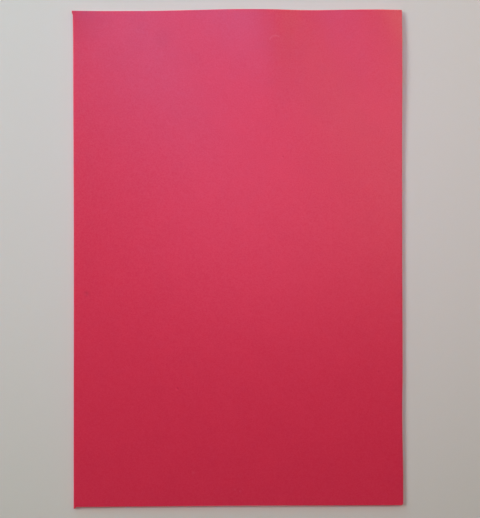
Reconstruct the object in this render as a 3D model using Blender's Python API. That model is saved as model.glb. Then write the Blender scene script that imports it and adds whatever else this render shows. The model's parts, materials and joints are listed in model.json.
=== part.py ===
# Craft foam sheet: one rectangle of closed-cell foam, cut with a knife and lying flat. A broad swell with a ridge
# on it and a side ripple lift one short edge, and one corner curls. Metres, +Z up. The underside rests on z = 0,
# the length runs along Y, and the origin is the middle of the underside.
import math

import bmesh
import bpy
from mathutils import Vector

# The sheet
WIDTH = 0.1990
LENGTH = 0.3000
THICKNESS = 0.0020

# How far the cut strays from a true rectangle
RIGHT_SIDE_SHORTFALL = 0.00045
LEFT_LEAN = 0.00064
RIGHT_LEAN = 0.00020
LEFT_BOW = 0.00025
RIGHT_BOW = 0.00020
BOTTOM_BOW = 0.00020
RIGHT_WAVER = 0.00040
RIGHT_WAVER_Y = -0.0980
RIGHT_WAVER_REACH = 0.0360

# Corners and the rolled rim of the cut edge
SHARP_CORNER_RADIUS = 0.00050
WORN_CORNER_RADIUS = 0.00260
CORNER_STEPS = 4
RIM_ROLL = 0.00034
RIM_STEPS = 2

# The nib that the knife left at the top left corner, and the tail at the bottom left one
NIB_OUT = 0.00055
NIB_LENGTH = 0.00250
TAIL_LENGTH = 0.00110
TAIL_ROOT = 0.00150
TAIL_TIP = 0.00080

# The ripples at the top edge: where the crest is, how high, how far it reaches left, right and down, and how much
# it slants to the right on its way down. The ridge stands on the swell.
SWELL_CREST_X = 0.0010
SWELL_HEIGHT = 0.0024
SWELL_REACH_LEFT = 0.0620
SWELL_REACH_RIGHT = 0.0560
SWELL_REACH_DOWN = 0.1300
SWELL_SLANT = 0.46
RIDGE_CREST_X = 0.0225
RIDGE_HEIGHT = 0.0005
RIDGE_REACH_LEFT = 0.0500
RIDGE_REACH_RIGHT = 0.0165
RIDGE_REACH_DOWN = 0.0950
RIDGE_SLANT = -0.13
SIDE_CREST_X = 0.0820
SIDE_HEIGHT = 0.0013
SIDE_REACH_LEFT = 0.0455
SIDE_REACH_RIGHT = 0.0270
SIDE_REACH_DOWN = 0.1250
SIDE_SLANT = 0.48
RIPPLE_END = SWELL_REACH_DOWN

# The curled top left corner
CURL_HEIGHT = 0.0010
CURL_REACH = 0.026

# Facets: fine where the sheet is rippled, long where it is flat
RIPPLE_FACET = 0.0052
FLAT_FACET = 0.0120
FACET_CLEARANCE = 0.0010

FOAM_COLOUR = (0.60, 0.045, 0.090, 1.0)
FOAM_ROUGHNESS = 0.62


def clear_scene():
    for obj in list(bpy.data.objects):
        bpy.data.objects.remove(obj, do_unlink=True)


def hump(distance, reach):
    """A smooth hill, 1 at no distance and 0 from reach on."""
    if abs(distance) >= reach:
        return 0.0
    return 0.5 + 0.5 * math.cos(math.pi * distance / reach)


def ripple(x, y, crest_x, reach_left, reach_right, reach_down, slant):
    """Share of its full height that one ripple has, whose crest runs in from the top edge."""
    down = max(LENGTH / 2 - y, 0.0)
    across = x - crest_x - slant * down
    side = hump(across, reach_left if across < 0 else reach_right)
    return side * hump(down, reach_down)


def lift(x, y):
    """Height of the underside over what the sheet lies on."""
    from_corner = math.hypot(x + WIDTH / 2, y - LENGTH / 2)
    curl = CURL_HEIGHT * (max(1 - from_corner / CURL_REACH, 0.0)) ** 2
    swell = ripple(x, y, SWELL_CREST_X, SWELL_REACH_LEFT, SWELL_REACH_RIGHT, SWELL_REACH_DOWN, SWELL_SLANT)
    ridge = ripple(x, y, RIDGE_CREST_X, RIDGE_REACH_LEFT, RIDGE_REACH_RIGHT, RIDGE_REACH_DOWN, RIDGE_SLANT)
    side = ripple(x, y, SIDE_CREST_X, SIDE_REACH_LEFT, SIDE_REACH_RIGHT, SIDE_REACH_DOWN, SIDE_SLANT)
    return curl + SWELL_HEIGHT * swell + RIDGE_HEIGHT * ridge + SIDE_HEIGHT * side


def bend(point):
    """Move a point of the true rectangle to where the stray cut and the ripples put it."""
    x, y = point.x, point.y
    across = x / (WIDTH / 2)
    down = 0.5 - y / LENGTH
    waist = math.sin(math.pi * down) ** 2
    bow = LEFT_BOW if x < 0 else RIGHT_BOW
    lean = LEFT_LEAN + (RIGHT_LEAN - LEFT_LEAN) * (0.5 + across / 2)
    waver = RIGHT_WAVER * max(across, 0.0) * hump(y - RIGHT_WAVER_Y, RIGHT_WAVER_REACH)
    stray_x = -across * bow * waist - lean * down - waver
    arch = math.cos(math.pi * across / 2) ** 2
    lower_half = max(2 * down - 1, 0.0)
    stray_y = lower_half * (BOTTOM_BOW * arch + RIGHT_SIDE_SHORTFALL * (0.5 + across / 2))
    return Vector((x + stray_x, y + stray_y, lift(x, y)))


def round_corner(corner, way_in, way_out, radius):
    """An arc from the side that runs along way_in to the one that runs along way_out."""
    centre = corner + (way_out - way_in) * radius
    turns = [math.pi / 2 * i / CORNER_STEPS for i in range(CORNER_STEPS + 1)]
    return [centre + (way_in * math.sin(a) - way_out * math.cos(a)) * radius for a in turns]


def between(start, end, longest):
    """Even points from start to end, both left out, no more than longest apart."""
    steps = math.ceil((end - start).length / longest)
    return [start.lerp(end, i / steps) for i in range(1, steps)]


def outline():
    """The cut as it runs round a true rectangle, counterclockwise from the bottom left corner.

    The sides have points along their flat stretches only: the facets give the rippled ones theirs."""
    right, up = Vector((1.0, 0.0)), Vector((0.0, 1.0))
    half_x, half_y = right * WIDTH / 2, up * LENGTH / 2
    foot = -half_x - half_y
    head = half_y - half_x
    tail = [foot - up * TAIL_LENGTH, foot - up * TAIL_LENGTH + right * TAIL_TIP, foot + right * TAIL_ROOT]
    worn = round_corner(half_x - half_y, right, up, WORN_CORNER_RADIUS)
    sharp = round_corner(half_x + half_y, up, -right, SHARP_CORNER_RADIUS)
    nib = [head - right * NIB_OUT, head - right * NIB_OUT - up * NIB_LENGTH / 2, head - up * NIB_LENGTH]
    ripple_end = half_y - up * RIPPLE_END
    bottom_side = between(tail[-1], worn[0], FLAT_FACET)
    right_side = between(worn[-1], half_x + ripple_end, FLAT_FACET)
    left_side = between(ripple_end - half_x, foot, FLAT_FACET)
    return tail + bottom_side + worn + right_side + sharp + nib + left_side


def slice_mesh(bm, place, normal):
    """Cut across every face that reaches into the rippled band."""
    flat_end = LENGTH / 2 - RIPPLE_END
    faces = [f for f in bm.faces if max(v.co.y for v in f.verts) > flat_end + FACET_CLEARANCE]
    edges = {e for f in faces for e in f.edges}
    verts = {v for f in faces for v in f.verts}
    bmesh.ops.bisect_plane(bm, geom=faces + list(edges) + list(verts), plane_co=place, plane_no=normal)


def slice_ripples(bm):
    """Cut the rippled band into facets, with columns across it and rows down it."""
    left = -WIDTH / 2 + TAIL_ROOT + FACET_CLEARANCE
    right = WIDTH / 2 - WORN_CORNER_RADIUS - FACET_CLEARANCE
    columns = math.ceil((right - left) / RIPPLE_FACET)
    top = LENGTH / 2 - NIB_LENGTH - FACET_CLEARANCE
    bottom = LENGTH / 2 - RIPPLE_END
    rows = math.ceil((top - bottom) / RIPPLE_FACET)
    for i in range(rows + 1):
        slice_mesh(bm, (0.0, bottom + (top - bottom) * i / rows, 0.0), (0.0, 1.0, 0.0))
    for i in range(columns + 1):
        slice_mesh(bm, (left + (right - left) * i / columns, 0.0, 0.0), (1.0, 0.0, 0.0))


def thicken(bm):
    """Draw the bent face up by the thickness, which closes it into a solid."""
    drawn = bmesh.ops.extrude_face_region(bm, geom=bm.faces[:])
    top = [v for v in drawn["geom"] if isinstance(v, bmesh.types.BMVert)]
    bmesh.ops.translate(bm, verts=top, vec=(0.0, 0.0, THICKNESS))
    bmesh.ops.recalc_face_normals(bm, faces=bm.faces[:])


def roll_rim(bm):
    """Round the two rims, where the cut edge meets the flat faces."""
    upright = {f for f in bm.faces if abs(f.normal.z) < 0.5}
    rim = [e for e in bm.edges if sum(f in upright for f in e.link_faces) == 1]
    bmesh.ops.bevel(bm, geom=rim, offset=RIM_ROLL, segments=RIM_STEPS, profile=0.5, affect="EDGES")


def foam_material():
    material = bpy.data.materials.new("red_foam")
    material.use_nodes = True
    shader = material.node_tree.nodes["Principled BSDF"]
    shader.inputs["Base Color"].default_value = FOAM_COLOUR
    shader.inputs["Roughness"].default_value = FOAM_ROUGHNESS
    shader.inputs["Metallic"].default_value = 0.0
    return material


def foam_sheet():
    """The whole object: one closed solid."""
    bm = bmesh.new()
    bm.faces.new([bm.verts.new((p.x, p.y, 0.0)) for p in outline()])
    slice_ripples(bm)
    for vert in bm.verts:
        vert.co = bend(vert.co)
    thicken(bm)
    roll_rim(bm)
    bmesh.ops.triangulate(bm, faces=bm.faces[:])
    mesh = bpy.data.meshes.new("foam_sheet")
    bm.to_mesh(mesh)
    bm.free()
    mesh.materials.append(foam_material())
    sheet = bpy.data.objects.new("foam_sheet", mesh)
    bpy.context.scene.collection.objects.link(sheet)


def main():
    clear_scene()
    foam_sheet()


main()
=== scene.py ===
import json
import math

import bpy
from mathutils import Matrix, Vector


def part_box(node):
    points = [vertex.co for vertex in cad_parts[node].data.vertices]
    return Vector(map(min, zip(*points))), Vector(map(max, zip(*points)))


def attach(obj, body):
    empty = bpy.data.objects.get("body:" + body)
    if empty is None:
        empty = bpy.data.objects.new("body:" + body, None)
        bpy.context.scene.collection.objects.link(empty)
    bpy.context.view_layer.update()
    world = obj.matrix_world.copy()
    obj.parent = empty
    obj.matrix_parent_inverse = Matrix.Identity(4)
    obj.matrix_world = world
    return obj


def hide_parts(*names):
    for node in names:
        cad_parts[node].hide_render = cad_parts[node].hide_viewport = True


# Looks of a craft foam sheet: a thin red sheet of closed-cell foam that lies on a pale floor, seen
# from above. Metres, +Z up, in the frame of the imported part.
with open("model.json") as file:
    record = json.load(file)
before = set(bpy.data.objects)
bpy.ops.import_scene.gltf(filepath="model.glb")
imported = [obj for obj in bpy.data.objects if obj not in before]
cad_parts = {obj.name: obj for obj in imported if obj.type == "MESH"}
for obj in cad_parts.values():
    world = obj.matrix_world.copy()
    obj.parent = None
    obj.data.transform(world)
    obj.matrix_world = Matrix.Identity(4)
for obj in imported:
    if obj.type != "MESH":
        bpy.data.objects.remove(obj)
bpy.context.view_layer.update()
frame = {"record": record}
LOW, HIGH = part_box("foam_sheet")
FACES = {mount["name"]: mount["pos_m"] for mount in frame["record"]["mounts"]}

# The sheet, measured from the frame
HALF_WIDTH = HIGH.x
HALF_LENGTH = HIGH.y
THICKNESS = FACES["upper_face"][2]
TAIL_LENGTH = -LOW.y - HALF_LENGTH

# How far the cut strays from a true rectangle
RIGHT_SIDE_SHORTFALL = 0.00045
LEFT_LEAN = 0.00064
RIGHT_LEAN = 0.00020
LEFT_BOW = 0.00025
RIGHT_BOW = 0.00020
BOTTOM_BOW = 0.00020
RIGHT_WAVER = 0.00040
RIGHT_WAVER_Y = -0.0980
RIGHT_WAVER_REACH = 0.0360

# Knife marks, worn corner and the rolled rim of the cut edge
NIB_OUT = 0.00055
NIB_LENGTH = 0.00250
TAIL_ROOT = 0.00150
TAIL_TIP = 0.00080
SHARP_CORNER_RADIUS = 0.00050
WORN_CORNER_RADIUS = 0.00260
CORNER_STEPS = 5
RIM_ROLL = 0.00034
RIM_STEPS = 3

# Ripples at the top edge: crest, height, reach to the left, right and down, and slant on the way
RIPPLES = {
    "broad_swell": (0.0010, 0.0024, 0.0620, 0.0560, 0.1300, 0.46),
    "ridge": (0.0225, 0.0005, 0.0500, 0.0165, 0.0950, -0.13),
    "side_ripple": (0.0820, 0.0013, 0.0455, 0.0270, 0.1250, 0.48),
}
CURL_HEIGHT = 0.0010
CURL_REACH = 0.026

# The mesh: cells of the skin, and rows up the cut edge
CELLS_ACROSS = 160
CELLS_ALONG = 240
WALL_ROWS = 4

# Unevenness of the skin and of the knife cut
SWELL_SIZE = 0.035
SWELL_HEIGHT = 0.00008
SKIN_SIZE = 0.0045
SKIN_HEIGHT = 0.00008
CUT_SIZE = 0.0030
CUT_DEPTH = 0.00006

# Dents in the upper skin. The crescent is also painted pale along its length, a painted highlight
# on the dent.
CRESCENT_CENTRE = (0.0228, 0.1305)
CRESCENT_RADIUS = 0.0036
CRESCENT_TURN = (55.0, 160.0)
CRESCENT_STEPS = 9
CRESCENT_WIDTH = 0.0009
CRESCENT_DEPTH = 0.00010
CRESCENT_HIGHLIGHT = 0.10

# Pin dents: place across and along, radius, depth
PIN_DENTS = (
    (0.0271, 0.0612, 0.0008, 0.00022),
    (0.0290, 0.0878, 0.0007, 0.00014),
    (0.0883, 0.1411, 0.0007, 0.00018),
    (-0.0369, -0.0788, 0.0011, 0.00020),
    (0.0845, -0.0692, 0.0009, 0.00020),
    (-0.0919, -0.0208, 0.0012, 0.00012),
)
DENT_PATCH = 0.0022
DENT_CUTS = 3

# Places closer than TOUCH are the same. A steep face belongs to the cut edge, a flat one to a skin.
TOUCH = 1e-5
DOUBLES = 1e-6
STEEP = 0.5
FLAT = 0.9
SMOOTH_ANGLE = 50.0


def deselect_all():
    if bpy.context.object and bpy.context.object.mode != "OBJECT":
        bpy.ops.object.mode_set(mode="OBJECT")
    bpy.ops.object.select_all(action="DESELECT")


def pick(sheet, kind, wanted):
    """In edit mode, select only the vertices, edges or faces that are wanted."""
    modes = tuple(kind == mode for mode in ("vertices", "edges", "polygons"))
    bpy.context.tool_settings.mesh_select_mode = modes
    bpy.ops.mesh.select_all(action="DESELECT")
    bpy.ops.object.mode_set(mode="OBJECT")
    for element in getattr(sheet.data, kind):
        element.select = wanted(element)
    bpy.ops.object.mode_set(mode="EDIT")


def ends(sheet, edge):
    return [sheet.data.vertices[i].co for i in edge.vertices]


def near(a, b):
    return abs(a - b) < TOUCH


def lay_blank():
    """A flat grid of the sheet's true rectangle, on the floor."""
    deselect_all()
    bpy.ops.mesh.primitive_grid_add(
        x_subdivisions=CELLS_ACROSS, y_subdivisions=CELLS_ALONG, size=2.0, location=(0.0, 0.0, 0.0)
    )
    sheet = bpy.context.object
    sheet.name = "foam_skin"
    sheet.scale = (HALF_WIDTH, HALF_LENGTH, 1.0)
    bpy.ops.object.transform_apply(location=False, rotation=False, scale=True)
    return sheet


def draw_nib(sheet):
    """Pull the left side out into a small nib just under the top left corner."""
    foot = HALF_LENGTH - NIB_LENGTH

    def on_nib(edge):
        return all(near(p.x, -HALF_WIDTH) and p.y > foot - TOUCH for p in ends(sheet, edge))

    pick(sheet, "edges", on_nib)
    bpy.ops.mesh.extrude_region_move(TRANSFORM_OT_translate={"value": (-NIB_OUT, 0.0, 0.0)})
    half_nib = -HALF_WIDTH - NIB_OUT / 2
    pick(sheet, "vertices", lambda v: v.co.x < half_nib and near(v.co.y, foot))
    bpy.ops.transform.translate(value=(NIB_OUT, 0.0, 0.0))


def draw_tail(sheet):
    """Pull the corner cell of the bottom side down into a pointed tail."""
    cell = 2 * HALF_WIDTH / CELLS_ACROSS
    cell_end = cell - HALF_WIDTH
    pick(sheet, "vertices", lambda v: near(v.co.x, cell_end) and near(v.co.y, -HALF_LENGTH))
    bpy.ops.transform.translate(value=(TAIL_ROOT - cell, 0.0, 0.0))

    root = TAIL_ROOT - HALF_WIDTH

    def on_tail(edge):
        return all(near(p.y, -HALF_LENGTH) and p.x < root + TOUCH for p in ends(sheet, edge))

    pick(sheet, "edges", on_tail)
    bpy.ops.mesh.extrude_region_move(TRANSFORM_OT_translate={"value": (0.0, -TAIL_LENGTH, 0.0)})
    half_tail = -HALF_LENGTH - TAIL_LENGTH / 2
    pick(sheet, "vertices", lambda v: v.co.y < half_tail and v.co.x > TAIL_TIP - HALF_WIDTH)
    bpy.ops.transform.translate(value=(TAIL_TIP - TAIL_ROOT, 0.0, 0.0))


def round_corners(sheet):
    """Round the two right corners, the lower one more than the upper."""
    corners = ((-HALF_LENGTH, WORN_CORNER_RADIUS), (HALF_LENGTH, SHARP_CORNER_RADIUS))
    for side_y, radius in corners:
        pick(sheet, "vertices", lambda v: near(v.co.x, HALF_WIDTH) and near(v.co.y, side_y))
        bpy.ops.mesh.bevel(affect="VERTICES", offset=radius, segments=CORNER_STEPS)


def thicken(sheet):
    """Draw the flat blank up to the foam's thickness, in as many steps as the cut edge has rows."""
    verts = sheet.data.vertices
    step = (0.0, 0.0, THICKNESS / WALL_ROWS)
    for row in range(WALL_ROWS):
        top = THICKNESS * row / WALL_ROWS
        pick(sheet, "polygons", lambda f: all(near(verts[i].co.z, top) for i in f.vertices))
        bpy.ops.mesh.extrude_region_move(TRANSFORM_OT_translate={"value": step})
    bpy.ops.mesh.select_all(action="SELECT")
    bpy.ops.mesh.remove_doubles(threshold=DOUBLES)
    bpy.ops.mesh.normals_make_consistent(inside=False)


def roll_rim(sheet):
    """Round the rims where the knife cut meets the two skins."""
    bpy.ops.object.mode_set(mode="OBJECT")
    walls, skins = set(), set()
    for face in sheet.data.polygons:
        (walls if abs(face.normal.z) < STEEP else skins).update(face.edge_keys)
    rim = walls & skins
    bpy.ops.object.mode_set(mode="EDIT")
    pick(sheet, "edges", lambda e: e.key in rim)
    bpy.ops.mesh.bevel(affect="EDGES", offset=RIM_ROLL, segments=RIM_STEPS)


def crescent():
    """Places along the crescent-shaped dent."""
    start, end = (math.radians(turn) for turn in CRESCENT_TURN)
    turns = [start + (end - start) * i / (CRESCENT_STEPS - 1) for i in range(CRESCENT_STEPS)]
    centre = Vector(CRESCENT_CENTRE)
    return [centre + CRESCENT_RADIUS * Vector((math.cos(a), math.sin(a))) for a in turns]


def dents():
    """Every dent in the upper skin: its place, radius and depth."""
    found = [(place, CRESCENT_WIDTH, CRESCENT_DEPTH) for place in crescent()]
    found += [(Vector((x, y)), radius, depth) for x, y, radius, depth in PIN_DENTS]
    return found


def refine_dents(sheet):
    """Give the skin smaller cells where it is dented."""
    places = [place for place, _, _ in dents()]

    def dented(face):
        at = face.center.xy
        return face.normal.z > FLAT and any((at - place).length < DENT_PATCH for place in places)

    pick(sheet, "polygons", dented)
    bpy.ops.mesh.subdivide(number_cuts=DENT_CUTS)


def displace(sheet, name, weight_at, strength, direction, mid_level=0.0, noise=None):
    """Displace the sheet, evenly or by a noise, as much as its painted weight says."""
    group = sheet.vertex_groups.new(name=name)
    for vert in sheet.data.vertices:
        weight = weight_at(vert.co)
        if weight > 0.0:
            group.add([vert.index], weight, "REPLACE")
    modifier = sheet.modifiers.new(name, "DISPLACE")
    modifier.texture = noise
    modifier.texture_coords = "LOCAL"
    modifier.direction = direction
    modifier.mid_level = mid_level
    modifier.strength = strength
    modifier.vertex_group = name
    bpy.ops.object.modifier_apply(modifier=name)
    sheet.vertex_groups.clear()


def hump(distance, reach):
    """A smooth hill, 1 at no distance and 0 from reach on."""
    if abs(distance) >= reach:
        return 0.0
    return 0.5 + 0.5 * math.cos(math.pi * distance / reach)


def press_dents(sheet):
    """Press each dent into the upper skin."""
    for number, (place, radius, depth) in enumerate(dents()):
        def pressed(co):
            return hump((co.xy - place).length, radius) if co.z > THICKNESS / 2 else 0.0

        displace(sheet, f"dent_{number}", pressed, -depth, "Z")


def stray_from_square(sheet):
    """Bow, lean and shorten the sides as the real cut does."""
    def down(co):
        return 0.5 - co.y / (2 * HALF_LENGTH)

    def waist(co):
        return abs(co.x) / HALF_WIDTH * math.sin(math.pi * down(co)) ** 2

    def lower_half(co):
        return max(2 * down(co) - 1, 0.0)

    def arch(co):
        return lower_half(co) * math.cos(math.pi * co.x / (2 * HALF_WIDTH)) ** 2

    def left_share(co):
        return 0.5 - co.x / (2 * HALF_WIDTH)

    def shortfall(co):
        return lower_half(co) * (0.5 + co.x / (2 * HALF_WIDTH))

    def waver(co):
        return max(co.x / HALF_WIDTH, 0.0) * hump(co.y - RIGHT_WAVER_Y, RIGHT_WAVER_REACH)

    displace(sheet, "left_bow", lambda co: waist(co) if co.x < 0 else 0.0, LEFT_BOW, "X")
    displace(sheet, "right_bow", lambda co: waist(co) if co.x > 0 else 0.0, -RIGHT_BOW, "X")
    displace(sheet, "right_waver", waver, -RIGHT_WAVER, "X")
    displace(sheet, "bottom_bow", arch, BOTTOM_BOW, "Y")
    displace(sheet, "right_shortfall", shortfall, RIGHT_SIDE_SHORTFALL, "Y")
    displace(sheet, "left_lean", lambda co: down(co) * left_share(co), -LEFT_LEAN, "X")
    displace(sheet, "right_lean", lambda co: down(co) * (1 - left_share(co)), -RIGHT_LEAN, "X")


def lift_ripples(sheet):
    """Raise the ripples of the top edge and the curl of its left corner."""
    def lift_of(crest_x, reach_left, reach_right, reach_down, slant):
        def lift(co):
            inward = max(HALF_LENGTH - co.y, 0.0)
            across = co.x - crest_x - slant * inward
            side = hump(across, reach_left if across < 0 else reach_right)
            return side * hump(inward, reach_down)
        return lift

    def curl(co):
        from_corner = math.hypot(co.x + HALF_WIDTH, co.y - HALF_LENGTH)
        return max(1 - from_corner / CURL_REACH, 0.0) ** 2

    for name, (crest_x, height, *reaches) in RIPPLES.items():
        displace(sheet, name, lift_of(crest_x, *reaches), height, "Z")
    displace(sheet, "corner_curl", curl, CURL_HEIGHT, "Z")


def roughen(sheet, name, size, height, direction, weight_at):
    """Uneven the surface with soft noise of one size, where the painted weight says."""
    noise = bpy.data.textures.new(name, "CLOUDS")
    noise.noise_scale = size
    noise.noise_depth = 1
    displace(sheet, name, weight_at, height, direction, mid_level=0.5, noise=noise)


def uneven_surfaces(sheet):
    """Uneven the upper skin and let the knife cut waver."""
    def upper(co):
        return 1.0 if co.z > THICKNESS - RIM_ROLL / 2 else 0.0

    def cut(co):
        return 1.0 if RIM_ROLL / 2 < co.z < THICKNESS - RIM_ROLL / 2 else 0.0

    roughen(sheet, "soft_swell", SWELL_SIZE, SWELL_HEIGHT, "Z", upper)
    roughen(sheet, "skin_unevenness", SKIN_SIZE, SKIN_HEIGHT, "Z", upper)
    roughen(sheet, "knife_waver", CUT_SIZE, CUT_DEPTH, "NORMAL", cut)


# The foam's finishes
FOAM_IOR = 1.41
SHINE_ROUGHNESS = 0.36
SKIN_GRAIN_DEPTH = 0.00005
CUT_GRAIN_DEPTH = 0.00012
CLOUDS_PER_METRE = 60.0
CLOUD_DETAIL = 3.0
PEBBLE_DETAIL = 2.0
PEBBLE_TONE = 0.4
PEBBLE_RANGE = (0.3, 0.7)
TONE_RANGE = (0.2, 0.8)
SKIN_DARK = (0.600, 0.0215, 0.0585, 1.0)
SKIN_PALE = (0.640, 0.0255, 0.0645, 1.0)
CUT_DARK = (0.72, 0.06, 0.12, 1.0)
CUT_PALE = (0.84, 0.12, 0.20, 1.0)
# Pale: the colour of the dust specks, and of the painted highlight along the crescent
DUST_AND_HIGHLIGHT = (0.74, 0.30, 0.34, 1.0)
# Dark red: painted shade at the two top corners, and the colour of two further dark spots
DARK_SPOT_AND_SHADE = (0.36, 0.012, 0.045, 1.0)
# Darker red: painted shade that darkens the curled top left corner
TOP_LEFT_CORNER_SHADE = (0.50, 0.010, 0.036, 1.0)

# The grain of the cut edge, whose cells are open
OPEN_CELLS = {
    "Pebbles per Metre": 1500.0,
    "Pores per Metre": 3400.0,
    "Pore Share": 0.9,
    "Smoothest": 0.5,
    "Roughest": 0.7,
    "Most Shine": 0.1,
}

# Marks and painted shade on the upper skin: place across and along, radius, strength, colour. The
# dust specks and two dark spots are marks; the spots at the two top corners and the darkening of
# the top left corner are painted shade.
SKIN_MARKS_AND_SHADE = (
    (-0.0278, -0.1296, 0.0016, 0.08, DUST_AND_HIGHLIGHT),
    (-0.0025, -0.1398, 0.0009, 0.12, DUST_AND_HIGHLIGHT),
    (0.0005, -0.1407, 0.0008, 0.12, DUST_AND_HIGHLIGHT),
    (-0.0919, -0.0208, 0.0030, 0.30, DARK_SPOT_AND_SHADE),
    (-0.0453, 0.1326, 0.0090, 0.12, DARK_SPOT_AND_SHADE),
    # Painted shade: dark spots at the top right corner and under the nib at the top left corner
    (0.0984, 0.1492, 0.0012, 0.55, DARK_SPOT_AND_SHADE),
    (-0.0996, 0.1480, 0.0012, 0.45, DARK_SPOT_AND_SHADE),
    # Painted shade: the top left corner darkened out to 30 mm
    (-0.1020, 0.1520, 0.0300, 0.50, TOP_LEFT_CORNER_SHADE),
)

def feed(tree, socket, item):
    """Give a socket a plain value, or link it to another node's output."""
    if isinstance(item, bpy.types.NodeSocket):
        tree.links.new(item, socket)
    else:
        socket.default_value = item


def new_group(name, inputs, outputs):
    """An empty shader node group with named sockets: each input is a name, a kind and a value."""
    tree = bpy.data.node_groups.new(name, "ShaderNodeTree")
    for socket_name, kind, value in inputs:
        socket = tree.interface.new_socket(socket_name, in_out="INPUT", socket_type=kind)
        if value is not None:
            socket.default_value = value
    for socket_name, kind in outputs:
        tree.interface.new_socket(socket_name, in_out="OUTPUT", socket_type=kind)
    return tree, tree.nodes.new("NodeGroupInput"), tree.nodes.new("NodeGroupOutput")


def noise_node(tree, place, scale, detail):
    node = tree.nodes.new("ShaderNodeTexNoise")
    for name, item in (("Vector", place), ("Scale", scale), ("Detail", detail)):
        feed(tree, node.inputs[name], item)
    return node.outputs["Fac"]


def maths(tree, operation, first, second):
    node = tree.nodes.new("ShaderNodeMath")
    node.operation = operation
    for socket, value in zip(node.inputs, (first, second)):
        feed(tree, socket, value)
    return node.outputs["Value"]


def spread(tree, value, low, high, to_low, to_high):
    """Stretch value from low..high to to_low..to_high."""
    node = tree.nodes.new("ShaderNodeMapRange")
    bounds = {"From Min": low, "From Max": high, "To Min": to_low, "To Max": to_high}
    feed(tree, node.inputs["Value"], value)
    for name, item in bounds.items():
        feed(tree, node.inputs[name], item)
    return node.outputs["Result"]


def foam_grain_group():
    """The pebbled grain of closed-cell foam: its tone, roughness, shine and height."""
    tree, given, result = new_group(
        "foam_grain",
        (
            ("Place", "NodeSocketVector", None),
            ("Pebbles per Metre", "NodeSocketFloat", 1300.0),
            ("Pores per Metre", "NodeSocketFloat", 2600.0),
            ("Pore Share", "NodeSocketFloat", 0.0),
            ("Smoothest", "NodeSocketFloat", 0.32),
            ("Roughest", "NodeSocketFloat", 0.42),
            ("Most Shine", "NodeSocketFloat", 0.50),
        ),
        (
            ("Tone", "NodeSocketFloat"),
            ("Roughness", "NodeSocketFloat"),
            ("Shine", "NodeSocketFloat"),
            ("Height", "NodeSocketFloat"),
        ),
    )
    asked = given.outputs
    pebbles = noise_node(tree, asked["Place"], asked["Pebbles per Metre"], PEBBLE_DETAIL)
    clouds = noise_node(tree, asked["Place"], CLOUDS_PER_METRE, CLOUD_DETAIL)
    pores = tree.nodes.new("ShaderNodeTexVoronoi")
    pores.feature = "SMOOTH_F1"
    tree.links.new(asked["Place"], pores.inputs["Vector"])
    tree.links.new(asked["Pores per Metre"], pores.inputs["Scale"])
    pore_height = maths(tree, "MULTIPLY", pores.outputs["Distance"], asked["Pore Share"])
    pebble_tone = maths(tree, "MULTIPLY", pebbles, PEBBLE_TONE)
    cloud_tone = maths(tree, "MULTIPLY", clouds, 1.0 - PEBBLE_TONE)
    low, high = PEBBLE_RANGE
    made = {
        "Tone": maths(tree, "ADD", pebble_tone, cloud_tone),
        "Roughness": spread(tree, pebbles, low, high, asked["Smoothest"], asked["Roughest"]),
        "Shine": spread(tree, pebbles, low, high, 0.0, asked["Most Shine"]),
        "Height": maths(tree, "ADD", pebbles, pore_height),
    }
    for name, output in made.items():
        tree.links.new(output, result.inputs[name])
    return tree


def soft_spot_group():
    """A round spot seen from above: its mask is 1 at the centre and fades out at the radius."""
    tree, given, result = new_group(
        "soft_spot",
        (
            ("Place", "NodeSocketVector", None),
            ("Centre", "NodeSocketVector", None),
            ("Radius", "NodeSocketFloat", 0.001),
            ("Strength", "NodeSocketFloat", 1.0),
        ),
        (("Mask", "NodeSocketFloat"),),
    )
    flat = tree.nodes.new("ShaderNodeVectorMath")
    flat.operation = "MULTIPLY"
    flat.inputs[1].default_value = (1.0, 1.0, 0.0)
    tree.links.new(given.outputs["Place"], flat.inputs[0])
    away = tree.nodes.new("ShaderNodeVectorMath")
    away.operation = "DISTANCE"
    tree.links.new(flat.outputs["Vector"], away.inputs[0])
    tree.links.new(given.outputs["Centre"], away.inputs[1])
    fade = tree.nodes.new("ShaderNodeMapRange")
    fade.interpolation_type = "SMOOTHSTEP"
    fade.inputs["From Min"].default_value = 0.0
    fade.inputs["To Min"].default_value = 1.0
    fade.inputs["To Max"].default_value = 0.0
    tree.links.new(away.outputs["Value"], fade.inputs["Value"])
    tree.links.new(given.outputs["Radius"], fade.inputs["From Max"])
    mask = maths(tree, "MULTIPLY", fade.outputs["Result"], given.outputs["Strength"])
    tree.links.new(mask, result.inputs["Mask"])
    return tree


def blend_colours(tree, share, first, second):
    """A colour between two, each a colour or another node's output."""
    node = tree.nodes.new("ShaderNodeMix")
    node.data_type = "RGBA"
    tree.links.new(share, node.inputs["Factor"])
    feed(tree, node.inputs["A"], first)
    feed(tree, node.inputs["B"], second)
    return node.outputs["Result"]


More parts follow.
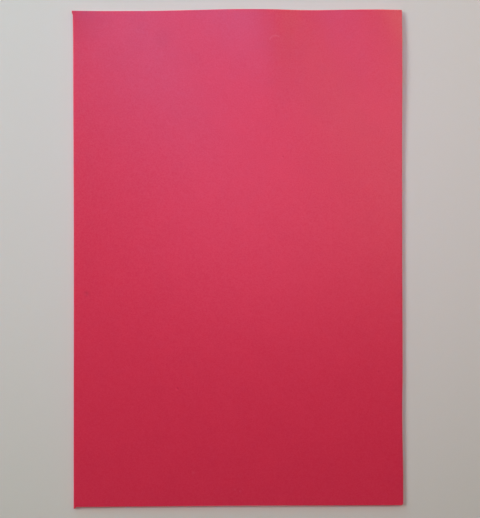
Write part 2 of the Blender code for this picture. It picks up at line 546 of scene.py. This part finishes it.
def foam_material(name, grain, dark, pale, values, bump_depth):
    """One finish of the foam: the grain between a dark and a pale tone, with its own relief."""
    material = bpy.data.materials.new(name)
    material.use_nodes = True
    tree = material.node_tree
    shader = tree.nodes["Principled BSDF"]
    place = tree.nodes.new("ShaderNodeTexCoord")
    foam = tree.nodes.new("ShaderNodeGroup")
    foam.node_tree = grain
    tree.links.new(place.outputs["Object"], foam.inputs["Place"])
    for socket_name, value in values.items():
        foam.inputs[socket_name].default_value = value
    tone_share = spread(tree, foam.outputs["Tone"], *TONE_RANGE, 0.0, 1.0)
    tree.links.new(blend_colours(tree, tone_share, dark, pale), shader.inputs["Base Color"])
    tree.links.new(foam.outputs["Roughness"], shader.inputs["Roughness"])
    tree.links.new(foam.outputs["Shine"], shader.inputs["Coat Weight"])
    shader.inputs["Coat Roughness"].default_value = SHINE_ROUGHNESS
    bump = tree.nodes.new("ShaderNodeBump")
    bump.inputs["Strength"].default_value = 1.0
    bump.inputs["Distance"].default_value = bump_depth
    tree.links.new(foam.outputs["Height"], bump.inputs["Height"])
    tree.links.new(bump.outputs["Normal"], shader.inputs["Normal"])
    shader.inputs["IOR"].default_value = FOAM_IOR
    return material


def lay_marks_and_shade(material, spot):
    """Lay the dust specks, dark spots, painted shade and the crescent's painted highlight over the
    skin's own colour.
    """
    tree = material.node_tree
    shader = tree.nodes["Principled BSDF"]
    place = next(node for node in tree.nodes if node.type == "TEX_COORD")
    # The crescent's pale line is a painted highlight on the dent.
    crescent_highlights = [(at.x, at.y, CRESCENT_WIDTH, CRESCENT_HIGHLIGHT, DUST_AND_HIGHLIGHT) for at in crescent()]
    for x, y, radius, strength, colour in (*SKIN_MARKS_AND_SHADE, *crescent_highlights):
        mark = tree.nodes.new("ShaderNodeGroup")
        mark.node_tree = spot
        tree.links.new(place.outputs["Object"], mark.inputs["Place"])
        mark.inputs["Centre"].default_value = (x, y, 0.0)
        mark.inputs["Radius"].default_value = radius
        mark.inputs["Strength"].default_value = strength
        under = shader.inputs["Base Color"].links[0].from_socket
        marked = blend_colours(tree, mark.outputs["Mask"], under, colour)
        tree.links.new(marked, shader.inputs["Base Color"])


def finish_of(face):
    """The slot of a face: 0 is the upper skin, 1 the cut edge and 2 the underside."""
    if abs(face.normal.z) < FLAT:
        return 1
    return 0 if face.normal.z > 0 else 2


def dress(sheet):
    """Skin on the two faces, with marks, painted shade and a painted highlight on the upper one,
    and the bare cut on the edge between them.
    """
    grain = foam_grain_group()
    skin = foam_material("foam_skin", grain, SKIN_DARK, SKIN_PALE, {}, SKIN_GRAIN_DEPTH)
    cut = foam_material("foam_cut", grain, CUT_DARK, CUT_PALE, OPEN_CELLS, CUT_GRAIN_DEPTH)
    underside = foam_material("foam_underside", grain, SKIN_DARK, SKIN_PALE, {}, SKIN_GRAIN_DEPTH)
    lay_marks_and_shade(skin, soft_spot_group())
    sheet.data.materials.clear()
    for material in (skin, cut, underside):
        sheet.data.materials.append(material)
    for face in sheet.data.polygons:
        face.material_index = finish_of(face)


def foam_sheet():
    """The whole sheet: cut flat, thickened, dressed, and only then bent."""
    sheet = lay_blank()
    bpy.ops.object.mode_set(mode="EDIT")
    draw_nib(sheet)
    draw_tail(sheet)
    round_corners(sheet)
    thicken(sheet)
    roll_rim(sheet)
    refine_dents(sheet)
    deselect_all()
    bpy.context.view_layer.objects.active = sheet
    sheet.select_set(True)
    dress(sheet)
    press_dents(sheet)
    uneven_surfaces(sheet)
    stray_from_square(sheet)
    lift_ripples(sheet)
    bpy.ops.object.shade_smooth_by_angle(angle=math.radians(SMOOTH_ANGLE))
    deselect_all()
    return sheet


# The camera hangs over the middle of the sheet and looks straight down
CAMERA_HEIGHT = 0.45
CAMERA_OFFSET = (0.00104, -0.00030)
CAMERA_ROLL = -0.2
FRAME_HEIGHT = 0.3132
SENSOR = 36.0
CLIP_START = 0.01


def add_camera():
    data = bpy.data.cameras.new("overhead_camera")
    data.sensor_width = SENSOR
    data.lens = SENSOR * CAMERA_HEIGHT / FRAME_HEIGHT
    data.clip_start = CLIP_START
    camera = bpy.data.objects.new("overhead_camera", data)
    camera.location = (*CAMERA_OFFSET, THICKNESS + CAMERA_HEIGHT)
    camera.rotation_euler = (0.0, 0.0, math.radians(CAMERA_ROLL))
    bpy.context.scene.collection.objects.link(camera)
    bpy.context.scene.camera = camera


FLOOR_SIZE = 1.5
FLOOR_DROP = 0.0001
FLOOR_COLOUR = (0.590, 0.548, 0.510, 1.0)
FLOOR_ROUGHNESS = 0.95
FLOOR_GLOSS = 0.2


def add_floor():
    deselect_all()
    bpy.ops.mesh.primitive_plane_add(size=FLOOR_SIZE, location=(0.0, 0.0, -FLOOR_DROP))
    floor = bpy.context.object
    floor.name = "floor"
    material = bpy.data.materials.new("pale_floor")
    material.use_nodes = True
    shader = material.node_tree.nodes["Principled BSDF"]
    shader.inputs["Base Color"].default_value = FLOOR_COLOUR
    shader.inputs["Roughness"].default_value = FLOOR_ROUGHNESS
    shader.inputs["Specular IOR Level"].default_value = FLOOR_GLOSS
    floor.data.materials.append(material)


CENTRE = (0.0, 0.0, 0.0)
WIDE = 180.0
NARROW = 40.0

# Lights: name, place, what it faces, size, spread in degrees, power, colour
LIGHTS = (
    ("left_window", (-1.00, 0.36, 0.75), CENTRE, 0.5, WIDE, 9.9, (0.94, 1.0, 0.87)),
    ("far_window", (-0.51, 1.09, 0.49), CENTRE, 0.5, WIDE, 9.1, (0.42, 0.81, 0.98)),
    ("warm_wall", (0.64, 0.76, 0.84), CENTRE, 0.5, WIDE, 5.3, (1.0, 0.83, 0.48)),
    ("cool_wall", (0.42, 0.50, 1.13), CENTRE, 0.5, WIDE, 0.60, (0.0, 0.15, 1.0)),
    ("right_fill", (0.30, 0.15, 0.55), (0.0, 0.05, 0.0), 0.3, WIDE, 0.70, (1.0, 0.75, 0.66)),
    ("near_low", (0.0, -0.90, 0.026), CENTRE, 0.05, WIDE, 3.4, (1.0, 0.88, 0.72)),
    ("left_low", (-0.90, 0.05, 0.026), CENTRE, 0.05, WIDE, 2.8, (1.0, 0.95, 0.95)),
    ("ceiling_pool", (0.0, 0.10, 1.00), (0.0, 0.08, 0.0), 0.3, NARROW, 0.11, (1.0, 0.25, 0.42)),
    ("sky_pool", (-0.10, 0.50, 1.00), (0.0, 0.10, 0.0), 0.3, NARROW, 0.17, (0.0, 0.47, 1.0)),
)
AMBIENT_COLOUR = (0.02, 0.02, 0.017, 1.0)
BACKDROP_COLOUR = (0.56, 0.53, 0.50, 1.0)


def soft_room():
    """A dim room light, with a pale backdrop behind the floor."""
    world = bpy.data.worlds.new("soft_room")
    world.use_nodes = True
    tree = world.node_tree
    rays = tree.nodes.new("ShaderNodeLightPath")
    seen = blend_colours(tree, rays.outputs["Is Camera Ray"], AMBIENT_COLOUR, BACKDROP_COLOUR)
    tree.links.new(seen, tree.nodes["Background"].inputs["Color"])
    return world


def add_lights():
    for name, place, target, size, spread_angle, power, colour in LIGHTS:
        data = bpy.data.lights.new(name, "AREA")
        data.shape = "SQUARE"
        data.size = size
        data.spread = math.radians(spread_angle)
        data.energy = power
        data.color = colour
        light = bpy.data.objects.new(name, data)
        light.location = place
        light.rotation_euler = (Vector(target) - Vector(place)).to_track_quat("-Z", "Y").to_euler()
        light.visible_camera = False
        bpy.context.scene.collection.objects.link(light)
    bpy.context.scene.world = soft_room()
    bpy.context.scene.view_settings.view_transform = "Standard"


add_camera()
add_floor()
add_lights()
sheet = foam_sheet()
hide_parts("foam_sheet")
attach(sheet, "root")
